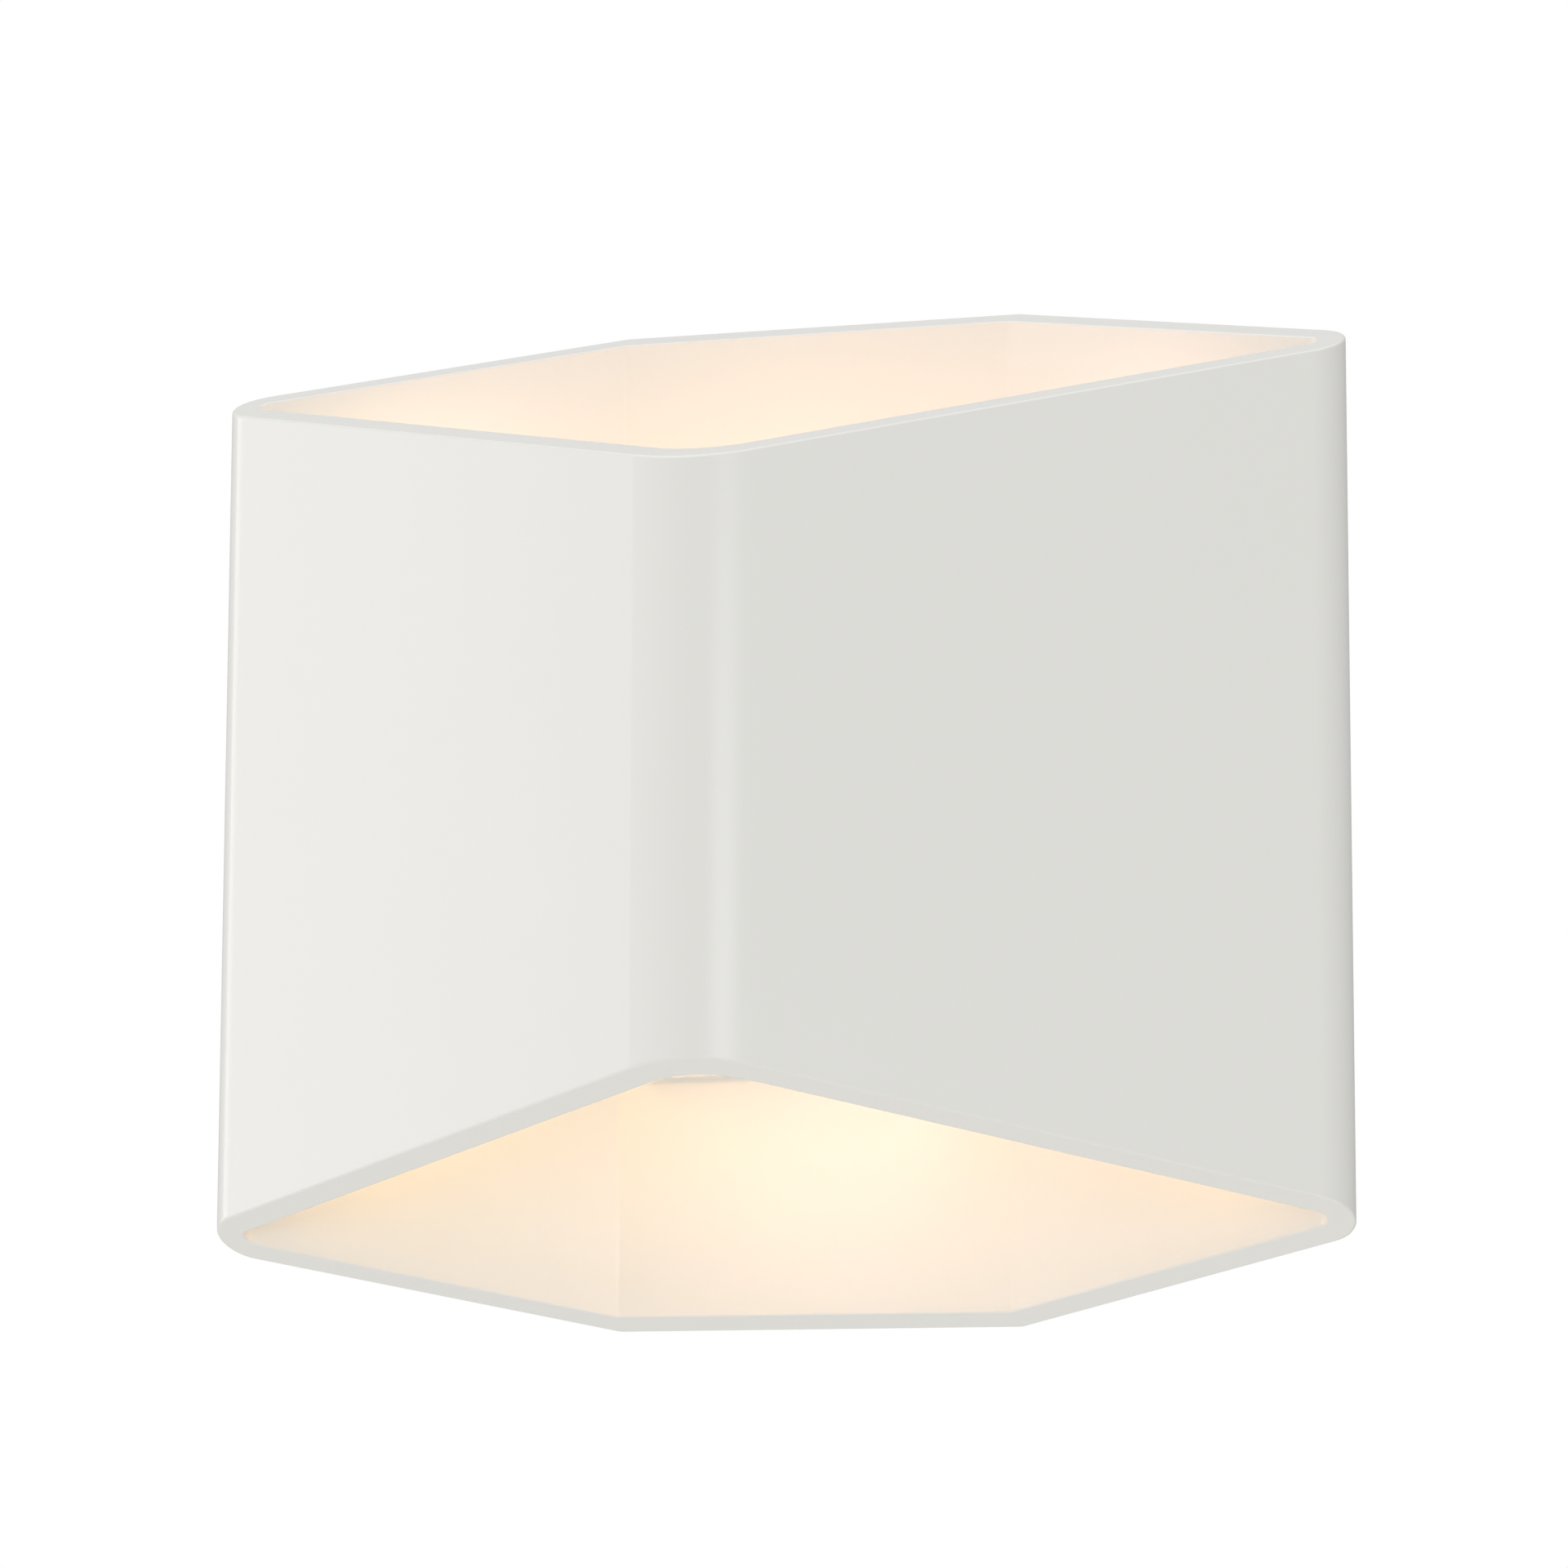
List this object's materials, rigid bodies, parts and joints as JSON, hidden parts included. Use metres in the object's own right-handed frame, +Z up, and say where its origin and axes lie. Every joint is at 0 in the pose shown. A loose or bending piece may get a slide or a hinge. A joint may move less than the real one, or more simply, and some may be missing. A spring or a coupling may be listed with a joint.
{
  "type": "outdoor wall light",
  "caption": "Up-and-down wall light: a white five-sided tube shade, cut obliquely at both ends, lifts off a sealed light box on a wall plate.",
  "frame": {"origin": "middle of the two wall screw slots, on the wall", "axes": "+X to the right, +Y into the wall, +Z up"},
  "size_m": [0.1626, 0.0644, 0.1448],
  "materials": {
    "white_powder_coat": "satin white powder coat on aluminium",
    "cast_aluminium": "as cast",
    "zinc_steel": "bright stainless",
    "brass": "turned",
    "black_rubber": "matt",
    "clear_silicone": "matt, translucent",
    "block_plastic": "natural",
    "driver_case": "potted case",
    "heat_pad": "soft pad",
    "board_mask": "white solder mask",
    "led_phosphor": "warm white, 3000 K",
    "reflector_white": "white",
    "opal_diffuser": "opal, lit"
  },
  "bodies": {
    "wall_unit": {"wall_plate": "cast_aluminium", "wall_gasket": "black_rubber", "cable_grommet": "black_rubber", "terminal_block": "block_plastic", "terminal_screws": "brass", "earth_washer": "zinc_steel", "earth_screw": "zinc_steel", "box_gasket": "black_rubber", "light_box": "white_powder_coat", "standoffs": "brass", "screw_seals": "clear_silicone", "box_screws": "zinc_steel", "led_driver": "driver_case", "heat_pad": "heat_pad", "led_board_top": "board_mask", "led_chips_top": "led_phosphor", "reflector_top": "reflector_white", "diffuser_top": "opal_diffuser", "diffuser_gasket_top": "clear_silicone", "bezel_top": "white_powder_coat", "bezel_screws_top": "zinc_steel", "led_board_bottom": "board_mask", "led_chips_bottom": "led_phosphor", "reflector_bottom": "reflector_white", "diffuser_bottom": "opal_diffuser", "diffuser_gasket_bottom": "clear_silicone", "bezel_bottom": "white_powder_coat", "bezel_screws_bottom": "zinc_steel"},
    "shade_assembly": {"shade": "white_powder_coat", "mounting_collar": "white_powder_coat", "collar_rivets": "zinc_steel"},
    "upper_locking_screw": {"locking_screw_top": "zinc_steel"},
    "lower_locking_screw": {"locking_screw_bottom": "zinc_steel"}
  },
  "joints": [
    {"name": "shade_lift_off", "type": "slide", "parent": "wall_unit", "child": "shade_assembly", "axis": [0, -1, 0], "range_m": [0, 0.055]},
    {"name": "upper_locking_screw_turn", "type": "hinge", "parent": "wall_unit", "child": "upper_locking_screw", "pos_m": [0, -0.011, 0.03], "axis": [0, 0, 1], "range_deg": [0, 720]},
    {"name": "lower_locking_screw_turn", "type": "hinge", "parent": "wall_unit", "child": "lower_locking_screw", "pos_m": [0, -0.011, -0.03], "axis": [0, 0, -1], "range_deg": [0, 720]}
  ]
}
